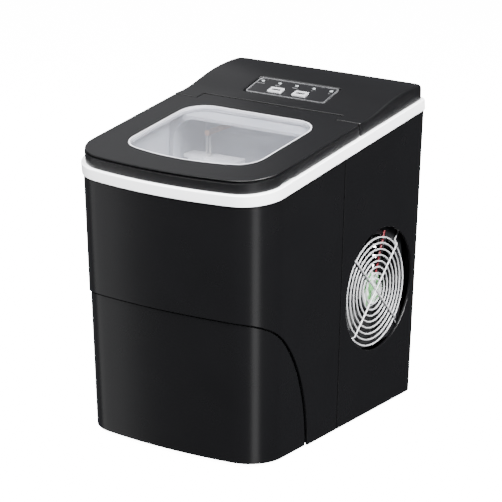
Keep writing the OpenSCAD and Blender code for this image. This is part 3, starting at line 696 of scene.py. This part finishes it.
def cover_edges(outline, t):
    """Radius of the top edge at each point, and whether the wall there stands along the lid."""
    radii, at_lid = [], []
    for x, y in outline:
        along = y < LID_SIDE_Y and (abs(x) < 112 or y < CORNER_FRONT_Y)
        side = SIDE_EDGE_R + REAR_EDGE_GAIN * smoothstep(COVER_REAR - 10, COVER_REAR, y)
        share = 0.0 if along else smoothstep(30, 42, y)
        radii.append(max((LID_EDGE_R + (side - LID_EDGE_R) * share) - t, 0.25))
        at_lid.append(along)
    return radii, at_lid


def cover_wall(outline, t, e):
    """Rows over the rounded top edge and down the wall, which is square to the deck along the lid."""
    radii, at_lid = cover_edges(outline, t)
    rows, tops = [], []
    for k in range(FILLET_STEPS + 1):
        a = math.radians(90 * k / FILLET_STEPS)
        spots = offset_loop(outline, [t + r * (1 - math.sin(a)) for r in radii])
        tops = tops or [cover_z(*p) - t for p in spots]
        rows.append([(*p, z - r * (1 - math.cos(a))) for p, z, r in zip(spots, tops, radii)])
    top, bottom = rows[-1], []
    foot_h = SKIRT_H + e
    for (x, y, z), along in zip(top, at_lid):
        h = (z - deck_height(y)) * math.cos(DECK)
        foot_y = y + along * (h - foot_h) * math.sin(DECK)
        bottom.append((x, foot_y, deck_height(foot_y, foot_h)))
    for k in range(1, WALL_STEPS + 1):
        rows.append([mix(p, q, k / WALL_STEPS) for p, q in zip(top, bottom)])
    return rows


def pocket_wall(t):
    """Rows over the rounded rim of the control panel's pocket and down to its floor."""
    rim = rounded_rect(POCKET_W, POCKET_D, POCKET_R)

    def line(grow):
        w, d = POCKET_W + 2 * grow, POCKET_D + 2 * grow
        return denser(rounded_rect(w, d, POCKET_R + grow), 5, rim)

    rows = []
    for grow, drop in ((0.8, 0.0), (0.35, 0.15), (0.1, 0.5), (0.0, 1.0)):
        spots = [panel_point(x, d, 0) for x, d in line(grow + t)]
        rows.append([(x, y, cover_z(x, y) - drop - t) for x, y, _ in spots])
    rows.append([panel_point(x, d, -POCKET_DEPTH - t) for x, d in line(t)])
    return rows


def cover_sheet(t, e):
    outline = cover_outline()
    rows = cover_wall(outline, t, e)
    sheet = Sheet()
    table = sheet.grid(rows, closed=True)
    pocket = sheet.grid(pocket_wall(t), closed=True)
    sheet.patch([pocket[-1]], lambda p: (p[0], p[1]))
    inner_edge = offset_loop([p[:2] for p in rows[0]], [2.5] * len(outline))
    clear_of_rim = rounded_rect(POCKET_W + 6, POCKET_D + 6, 7)
    pocket_edge = [panel_point(x, d, 0)[:2] for x, d in clear_of_rim]
    dome = [(DOME_X * i, DOME_START + DOME_Y * j) for i in range(-18, 19) for j in range(34)]
    free = [p for p in dome if inside(p, [inner_edge]) and not inside(p, [pocket_edge])]
    extra = sheet.add([(*p, cover_z(*p) - t) for p in free])
    sheet.patch([table[0], pocket[0]], lambda p: (p[0], p[1]), extra)
    return sheet


# ---- controls ----
# X is across the panel, D up its slope from its middle
LED_X = [20.8 * i for i in range(-2, 3)]
LED_D = 9.5
MARK_W = (9.0, 6.0, 6.5, 2.4, 2.4)
KEYS = {"button_power": (-16.0, "power_key"), "button_select": (13.5, "select_key")}
KEY_D, KEY_W, KEY_L = -5.8, 16.4, 10.4
BAR_W, BAR_L = 10.0, 2.6


def panel_slab(name, centre, w, d, r, low, high, body, replaced=(), slot=None, dish=0.0, edge=0.3):
    """A rounded plate on the control panel, its top edge rounded and its top a little hollow."""
    cx, cd = centre
    profile = [(0.0, low), (0.0, high - edge), (edge * 0.3, high - edge * 0.3), (edge, high)]
    profile += [(edge + 1.5, high - dish * 0.5), (edge + 3.0, high - dish)] if dish else []
    table = []
    for inset, h in profile:
        line = rounded_rect(w - 2 * inset, d - 2 * inset, max(r - inset, 0.3))
        table.append([panel_point(cx + x, cd + y, h) for x, y in line])
    return rings(name, table, body, replaced, slot, caps=True)


def keys():
    """Rounded caps on the two keys, each with a short raised bar."""
    made = []
    for node, (x, body) in KEYS.items():
        made.append(panel_slab(node + "_cap", (x, KEY_D), KEY_W, KEY_L, 1.3, -1.1, 0.2, body, [node],
                               "button_grey", dish=0.25))
        made.append(panel_slab(f"{node}_bar", (x, KEY_D + 0.4), BAR_W, BAR_L, 0.5, -0.4, 0.06, body,
                               slot="overlay_black", edge=0.05))
    return made


def overlay_marks():
    """Short plain dashes under the lamps."""
    made = []
    for k, (x, w) in enumerate(zip(LED_X, MARK_W)):
        made.append(panel_slab(f"lamp_mark_{k}", (x, LED_D - 4.6), w, 0.9, 0.3, -1.0, -0.93, "casing",
                               slot="silver_line", edge=0.02))
    return made


# ---- wire guard ----
GUARD_Z, GUARD_Y = 133.5, 71.0
WIRE_R, SPIRAL_X, SPOKE_X = 0.95, 108.2, 110.1
SPIRAL_R, SPIRAL_PITCH, SPIRAL_TURNS = 58.5, 6.2, 7.6
SPOKE_FOOT_X, SPOKE_BEND_X, SPOKE_FLAT_R = 105.5, SPOKE_X - 2.2, 56
# A spoke's end, from its foot inside the side wall to its bend: place across, distance from the middle
SPOKE_END = ((SPOKE_FOOT_X, 72), (SPOKE_FOOT_X, 60.5), (SPOKE_BEND_X, 58.0))
# Rounding of a wire's end: how far past the last ring, and how thick, in wire radii
WIRE_TIP = ((0.3, 0.8), (0.55, 0.4))


def tube(points, r, sides=10):
    """Rings of a round wire swept along a line of points, ends rounded off."""
    line = [Vector(p) for p in points]
    rows = []
    up = None
    for i, p in enumerate(line):
        ahead = (line[min(i + 1, len(line) - 1)] - line[max(i - 1, 0)]).normalized()
        side = ahead.cross(up if up else Vector((0.31, 0.55, 0.77))).normalized()
        up = side.cross(ahead).normalized()
        rows.append((p, ahead, side, up))
    table = []

    def ring(p, side, up, radius):
        angles = [2 * math.pi * k / sides for k in range(sides)]
        return [tuple(p + side * (radius * math.cos(a)) + up * (radius * math.sin(a))) for a in angles]

    p, ahead, side, up = rows[0]
    for back, share in reversed(WIRE_TIP):
        table.append(ring(p - ahead * (back * r), side, up, share * r))
    for p, ahead, side, up in rows:
        table.append(ring(p, side, up, r))
    for forth, share in WIRE_TIP:
        table.append(ring(p + ahead * (forth * r), side, up, share * r))
    return table


def wires(name, lines, r, body, replaced, slot):
    sheet = Sheet()
    for points in lines:
        rows = sheet.grid(tube(points, r), closed=True)
        sheet.faces += [tuple(rows[0]), tuple(rows[-1])]
    return finish_mesh(name, sheet.points, sheet.faces, body, replaced, slot, sharp=60, weighted=False)


def guard():
    """Wire guard over the fan: one spiral and two spokes across it."""
    steps = int(SPIRAL_TURNS * 48)
    spiral = []
    for k in range(steps + 1):
        turn = SPIRAL_TURNS * k / steps
        a = math.radians(225 + 360 * turn)
        r = SPIRAL_R - SPIRAL_PITCH * turn
        spiral.append((SPIRAL_X, GUARD_Y + r * math.cos(a), GUARD_Z + r * math.sin(a)))
    lines = [spiral]
    for a in (45, 135):
        c, s = math.cos(math.radians(a)), math.sin(math.radians(a))
        spots = [(x, -r) for x, r in SPOKE_END]
        spots += [(SPOKE_X, r) for r in range(-SPOKE_FLAT_R, SPOKE_FLAT_R + 1, 8)]
        spots += reversed(SPOKE_END)
        lines.append([(x, GUARD_Y + r * c, GUARD_Z + r * s) for x, r in spots])
    return wires("fan_guard_wires", lines, WIRE_R, "casing", ["fan_grille"], "wire_chrome")


# ---- materials ----
class Shader:
    """A node material with one Principled shader, built up step by step."""

    def __init__(self, name):
        self.material = bpy.data.materials.new(name)
        self.material.use_nodes = True
        self.tree = self.material.node_tree
        self.surface = self.tree.nodes["Principled BSDF"]
        self.coords = self.tree.nodes.new("ShaderNodeTexCoord").outputs["Object"]

    def node(self, kind, **values):
        made = self.tree.nodes.new(kind)
        for key, value in values.items():
            setattr(made, key, value)
        return made

    def link(self, a, b):
        self.tree.links.new(a, b)
        return b

    def set(self, **values):
        for key, value in values.items():
            self.surface.inputs[key.replace("_", " ")].default_value = value
        return self

    def stretched(self, scale):
        mapping = self.node("ShaderNodeMapping")
        mapping.inputs["Scale"].default_value = scale
        self.link(self.coords, mapping.inputs["Vector"])
        return mapping.outputs["Vector"]

    def noise(self, size_mm, detail=3.0, vector=None):
        made = self.node("ShaderNodeTexNoise")
        made.inputs["Scale"].default_value = 1000.0 / size_mm
        made.inputs["Detail"].default_value = detail
        self.link(vector or self.coords, made.inputs["Vector"])
        return made.outputs["Fac"]

    def ramp(self, value, low, high, start=0.35, end=0.65):
        made = self.node("ShaderNodeMapRange")
        made.inputs["From Min"].default_value = start
        made.inputs["From Max"].default_value = end
        made.inputs["To Min"].default_value = low
        made.inputs["To Max"].default_value = high
        self.link(value, made.inputs["Value"])
        return made.outputs["Result"]

    def colours(self, value, first, second, start=0.35, end=0.65):
        made = self.node("ShaderNodeMix", data_type="RGBA")
        self.link(self.ramp(value, 0.0, 1.0, start, end), made.inputs["Factor"])
        made.inputs["A"].default_value = (*first, 1.0)
        made.inputs["B"].default_value = (*second, 1.0)
        return made.outputs["Result"]

    def colour(self, output):
        self.link(output, self.surface.inputs["Base Color"])
        return self

    def roughness(self, output):
        self.link(output, self.surface.inputs["Roughness"])
        return self

    def bumps(self, *layers):
        """layers are (height output, height in mm)."""
        normal = None
        for height, depth in layers:
            bump = self.node("ShaderNodeBump")
            bump.inputs["Distance"].default_value = depth * MM
            self.link(height, bump.inputs["Height"])
            if normal:
                self.link(normal, bump.inputs["Normal"])
            normal = bump.outputs["Normal"]
        self.link(normal, self.surface.inputs["Normal"])
        return self


def shade(colour, k):
    return tuple(min(c * k, 1.0) for c in colour)


def plastic(name, colour, rough, grain_mm=0.5, grain_depth=0.002, mottle=0.06, **settings):
    """Moulded plastic: a fine moulded grain, a faint flow in its tone, wiped patches in its gloss."""
    m = Shader(name).set(**settings)
    flow, grain, wipe = m.noise(60), m.noise(grain_mm, 2.0), m.noise(35, 3.0)
    m.colour(m.colours(flow, shade(colour, 1 - mottle), shade(colour, 1 + mottle)))
    m.roughness(m.ramp(wipe, rough * 0.985, rough * 1.015))
    return m.bumps((grain, grain_depth)).material


def metal(name, colour, rough, brushed=(1.0, 1.0, 1.0), tarnish=0.12, **settings):
    """Plain or plated metal: draw lines along one direction, cloudy tarnish, small pits."""
    m = Shader(name).set(Metallic=1.0, **settings)
    lines = m.noise(0.7, 2.0, m.stretched(brushed))
    cloud = m.noise(14, 5.0)
    m.colour(m.colours(cloud, shade(colour, 1 - tarnish), shade(colour, 1 + tarnish * 0.5)))
    m.roughness(m.ramp(lines, rough * 0.7, rough * 1.4))
    return m.bumps((lines, 0.003), (m.noise(2.5, 4.0), 0.004)).material


def painted(name, colour, rough):
    """Sprayed enamel with a slight orange-peel."""
    m = Shader(name).set(Coat_Weight=0.4, Coat_Roughness=0.15)
    m.colour(m.colours(m.noise(25, 5.0), shade(colour, 0.9), shade(colour, 1.1)))
    m.roughness(m.ramp(m.noise(9, 5.0), rough * 0.85, rough * 1.2))
    return m.bumps((m.noise(1.6, 2.0), 0.012)).material


def rubber(name, colour, rough=0.75):
    m = Shader(name).set(Specular_IOR_Level=0.35)
    dust = m.noise(4, 8.0)
    m.colour(m.colours(dust, colour, shade(colour, 1.9), 0.45, 0.8))
    m.roughness(m.ramp(dust, rough, rough + 0.12))
    return m.bumps((m.noise(0.5, 2.0), 0.02)).material


def foam(name, colour):
    m = Shader(name)
    cells = m.node("ShaderNodeTexVoronoi")
    cells.inputs["Scale"].default_value = 450.0
    m.link(m.coords, cells.inputs["Vector"])
    m.colour(m.colours(cells.outputs["Distance"], colour, shade(colour, 0.78), 0.1, 0.6))
    m.roughness(m.ramp(m.noise(3), 0.85, 0.95))
    return m.bumps((cells.outputs["Distance"], 0.4)).material


def circuit_board(name):
    """Solder mask with paler copper tracks under it."""
    m = Shader(name).set(Coat_Weight=0.5, Coat_Roughness=0.1)
    tracks = m.node("ShaderNodeTexBrick")
    tracks.inputs["Scale"].default_value = 180.0
    tracks.inputs["Mortar Size"].default_value = 0.03
    tracks.inputs["Color1"].default_value = (0.02, 0.16, 0.07, 1)
    tracks.inputs["Color2"].default_value = (0.02, 0.12, 0.05, 1)
    tracks.inputs["Mortar"].default_value = (0.06, 0.3, 0.14, 1)
    m.link(m.coords, tracks.inputs["Vector"])
    m.colour(tracks.outputs["Color"])
    m.roughness(m.ramp(m.noise(6), 0.3, 0.42))
    return m.bumps((tracks.outputs["Fac"], 0.02)).material


def clear_panel(name):
    """Clear moulded panel: see-through, with the surface's gloss on top and a faint grey tint."""
    m = Shader(name).set(Roughness=0.06, IOR=1.5)
    m.colour(m.colours(m.noise(40), (0.09, 0.092, 0.10), (0.11, 0.112, 0.12)))
    m.bumps((m.noise(30), 0.02))
    through = m.node("ShaderNodeBsdfTransparent")
    through.inputs["Color"].default_value = (0.955, 0.96, 0.975, 1.0)
    facing = m.node("ShaderNodeLayerWeight")
    facing.inputs["Blend"].default_value = 0.12
    blend = m.node("ShaderNodeMixShader")
    m.link(m.ramp(facing.outputs["Fresnel"], 0.03, 0.55, 0.0, 1.0), blend.inputs["Fac"])
    m.link(through.outputs["BSDF"], blend.inputs[1])
    m.link(m.surface.outputs["BSDF"], blend.inputs[2])
    m.link(blend.outputs["Shader"], m.tree.nodes["Material Output"].inputs["Surface"])
    return m.material


def hub_label(name):
    """Round printed label: white, with irregular green areas."""
    m = Shader(name).set(Coat_Weight=0.3)
    patches = m.noise(11, 1.5, m.stretched((1.0, 1.6, 0.8)))
    m.colour(m.colours(patches, (0.72, 0.76, 0.74), (0.10, 0.32, 0.10), 0.44, 0.52))
    m.roughness(m.ramp(m.noise(5), 0.35, 0.5))
    return m.bumps((m.noise(0.8), 0.01)).material


BLACK, TOP_BLACK = (0.0028, 0.0028, 0.0031), (0.003, 0.003, 0.0033)
MATERIALS = {
    "satin_black": lambda n: plastic(n, BLACK, 0.27, 0.45, 0.0015, Specular_IOR_Level=0.33),
    "lid_black": lambda n: plastic(n, TOP_BLACK, 0.36, 0.4, 0.003, Specular_IOR_Level=0.33),
    "cover_black": lambda n: plastic(n, TOP_BLACK, 0.36, 0.4, 0.003, Specular_IOR_Level=0.33),
    "white_gloss": lambda n: plastic(n, (0.95, 0.955, 0.97), 0.3, 3.0, 0.003, 0.01),
    "clear_panel": clear_panel,
    "pale_rim": lambda n: plastic(n, (0.40, 0.40, 0.42), 0.35, 2.0, 0.004, 0.03),
    "liner_plastic": lambda n: plastic(n, (0.42, 0.422, 0.45), 0.32, 2.5, 0.006, 0.03,
                                       Subsurface_Weight=0.05),
    "tray_plastic": lambda n: plastic(n, (0.55, 0.565, 0.59), 0.25, 2.0, 0.004, 0.03),
    "white_parts": lambda n: plastic(n, (0.82, 0.82, 0.83), 0.4, 1.2, 0.006, 0.03),
    "overlay_black": lambda n: plastic(n, (0.004, 0.004, 0.0045), 0.34, 0.3, 0.003),
    "silver_line": lambda n: metal(n, (0.62, 0.62, 0.64), 0.38),
    "button_grey": lambda n: plastic(n, (0.26, 0.26, 0.27), 0.42, 0.5, 0.006, 0.04),
    "lens_grey": lambda n: plastic(n, (0.2, 0.21, 0.215), 0.2, 1.0, 0.003, 0.05, Coat_Weight=0.6),
    "dark_plastic": lambda n: plastic(n, (0.008, 0.008, 0.009), 0.42, 0.6, 0.008),
    "foam": lambda n: foam(n, (0.78, 0.76, 0.66)),
    "sheet_steel": lambda n: metal(n, (0.42, 0.43, 0.45), 0.42, (0.1, 1.0, 1.0)),
    "nickel": lambda n: metal(n, (0.68, 0.66, 0.62), 0.22),
    "copper": lambda n: metal(n, (0.78, 0.42, 0.26), 0.3, tarnish=0.3),
    "brass_body": lambda n: metal(n, (0.74, 0.56, 0.26), 0.32),
    "compressor_black": lambda n: painted(n, (0.012, 0.012, 0.014), 0.25),
    "fin_aluminium": lambda n: metal(n, (0.7, 0.71, 0.72), 0.35, (1.0, 1.0, 0.1)),
    "motor_metal": lambda n: metal(n, (0.6, 0.6, 0.6), 0.35, (1.0, 1.0, 0.1)),
    "wire_chrome": lambda n: plastic(n, (0.36, 0.36, 0.37), 0.3, 1.0, 0.003, 0.03, Coat_Weight=0.4),
    "screw_steel": lambda n: metal(n, (0.62, 0.62, 0.63), 0.3),
    "rubber_black": lambda n: rubber(n, (0.018, 0.018, 0.018)),
    "hose": lambda n: rubber(n, (0.62, 0.62, 0.6), 0.45),
    "pcb": circuit_board,
    "label_green": hub_label,
    "wire_red": lambda n: plastic(n, (0.16, 0.012, 0.02), 0.4, 1.0, 0.004),
}


def smooth_cad(piece):
    """Smooth shading on a CAD node's round faces: smooth faces, then a weld and an edge split by
    modifiers.
    """
    piece.data.polygons.foreach_set("use_smooth", [True] * len(piece.data.polygons))
    weld = piece.modifiers.new("weld", "WELD")
    weld.merge_threshold = 2e-6
    split = piece.modifiers.new("crisp_edges", "EDGE_SPLIT")
    split.split_angle = math.radians(28)


def dress():
    """Every CAD node and every new piece gets the material of its slot."""
    made = {slot: build(slot) for slot, build in MATERIALS.items()}
    for row in frame["record"]["subparts"]:
        piece = nodes[row["node"]]
        piece.data.materials.clear()
        piece.data.materials.append(made[row["material_slot"]])
        if not piece.hide_render:
            smooth_cad(piece)
    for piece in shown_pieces():
        if "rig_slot" in piece and "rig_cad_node" not in piece:
            piece.data.materials.append(made[piece["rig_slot"]])


# ---- camera, light, floor ----
AZIMUTH, ELEVATION, ROLL = math.radians(33.81), math.radians(16.68), math.radians(0.47)
# Metres across, up and back from the middle of the casing's lower end
CAMERA_SHIFT = (0.004655, 0.162355, 2.605945)
LENS = 180.49
FLOOR_HALF, DOME_R, BACKDROP_GLOW = 9.0, 8.8, 14.0


def aim(sideways, upward, forward):
    """Rotation whose -Z looks forward, with +Y upward."""
    return Matrix((sideways, upward, -forward)).transposed().to_4x4()


def camera():
    a, e = AZIMUTH, ELEVATION
    side = Vector((math.cos(a), math.sin(a), 0))
    ahead = Vector((-math.sin(a) * math.cos(e), math.cos(a) * math.cos(e), -math.sin(e)))
    up = side.cross(ahead)
    across = side * math.cos(ROLL) + up * math.sin(ROLL)
    rise = up * math.cos(ROLL) - side * math.sin(ROLL)
    data = bpy.data.cameras.new("camera")
    data.lens, data.sensor_width = LENS, 36.0
    data.clip_start, data.clip_end = 0.1, 50.0
    made = bpy.data.objects.new("camera", data)
    bpy.context.scene.collection.objects.link(made)
    x, y, z = CAMERA_SHIFT
    made.matrix_world = aim(across, rise, ahead)
    made.location = across * x + rise * y - ahead * z + Vector((0, 0, FLOOR_END * MM))
    bpy.context.scene.camera = made


def softbox(name, place_at, target, size, power, colour=(1, 1, 1)):
    data = bpy.data.lights.new(name, "AREA")
    data.shape, data.size, data.size_y = "RECTANGLE", size[0], size[1]
    data.energy, data.color = power, colour
    made = bpy.data.objects.new(name, data)
    bpy.context.scene.collection.objects.link(made)
    ahead = (Vector(target) - Vector(place_at)).normalized()
    side = ahead.cross(Vector((0, 0, 1))).normalized()
    made.matrix_world = aim(side, side.cross(ahead), ahead)
    made.location = place_at
    made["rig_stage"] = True
    return made


def around(azimuth, distance, z):
    """A place round the machine: azimuth 0 is straight in front, 90 on its right."""
    a = math.radians(azimuth)
    return (distance * math.sin(a), -distance * math.cos(a), z)


def lights():
    """Soft lights for the reflections seen in the photograph, and a dim sky."""
    middle = (0, 0, 0.17)
    softbox("key_right", around(74, 1.7, 1.75), middle, (1.3, 1.0), 300)
    softbox("front", around(8, 1.9, 1.95), middle, (1.3, 0.9), 230)
    softbox("fill_left_front", around(-60, 1.9, -0.35), middle, (1.0, 2.2), 7)
    softbox("corner_strip", around(52, 2.4, -0.75), middle, (0.75, 1.2), 7.5)
    softbox("lid_sheen", (-0.50, 0.34, 0.64), (-0.05, -0.1, 0.3), (0.4, 0.3), 0.2)
    softbox("overhead_left", (-0.8, -1.1, 2.2), middle, (1.6, 1.2), 80)
    world = bpy.data.worlds.new("studio")
    world.use_nodes = True
    world.node_tree.nodes["Background"].inputs["Color"].default_value = (0.9, 0.92, 1.0, 1.0)
    world.node_tree.nodes["Background"].inputs["Strength"].default_value = 0.12
    bpy.context.scene.world = world


def backdrop():
    """Bright white floor and a sphere round the scene, seen by the camera and lighting nothing."""
    bm = bmesh.new()
    bmesh.ops.create_grid(bm, x_segments=8, y_segments=8, size=FLOOR_HALF)
    bmesh.ops.create_uvsphere(bm, u_segments=48, v_segments=24, radius=DOME_R)
    mesh = bpy.data.meshes.new("floor")
    bm.to_mesh(mesh)
    bm.free()
    floor = bpy.data.objects.new("floor", mesh)
    floor.location = (0, 0, -0.0002)
    bpy.context.scene.collection.objects.link(floor)
    m = Shader("floor_white").set(Roughness=0.9, Emission_Strength=BACKDROP_GLOW)
    m.set(Emission_Color=(1, 1, 1, 1))
    m.colour(m.colours(m.noise(400), (0.9, 0.9, 0.9), (0.93, 0.93, 0.93)))
    mesh.materials.append(m.material)
    floor.visible_glossy = False
    floor.visible_diffuse = False
    floor.visible_shadow = False
    floor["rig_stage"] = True


def build():
    shell("front_housing_shell", front_housing_sheet, "casing", ["front_housing"], "satin_black")
    shell("lower_panel_shell", lower_panel_sheet, "casing", ["lower_front_panel"], "satin_black")
    shell("rear_housing_shell", rear_housing_sheet, "casing", ["rear_housing"], "satin_black")
    shell("panel_lap", panel_lap_sheet, "casing", [], "dark_plastic", thickness=0.8, edge=0.1)
    for side, sign in (("left", -1), ("right", 1)):
        shell(f"seam_lap_{side}", seam_lap(sign), "casing", [], "dark_plastic", thickness=0.8, edge=0.1)
    shell("dust_screen", dust_screen_sheet, "casing", [], "dark_plastic", thickness=0.6, edge=0.1)
    trim_band()
    shell("lid_frame_shell", lid_sheet, "lid", ["lid_frame"], "lid_black", edge=0.4)
    lid_window()
    shell("top_cover_shell", cover_sheet, "casing", ["top_cover"], "cover_black", edge=0.4)
    keys()
    overlay_marks()
    guard()
    dress()


camera()
lights()
backdrop()
build()
bpy.context.view_layer.update()
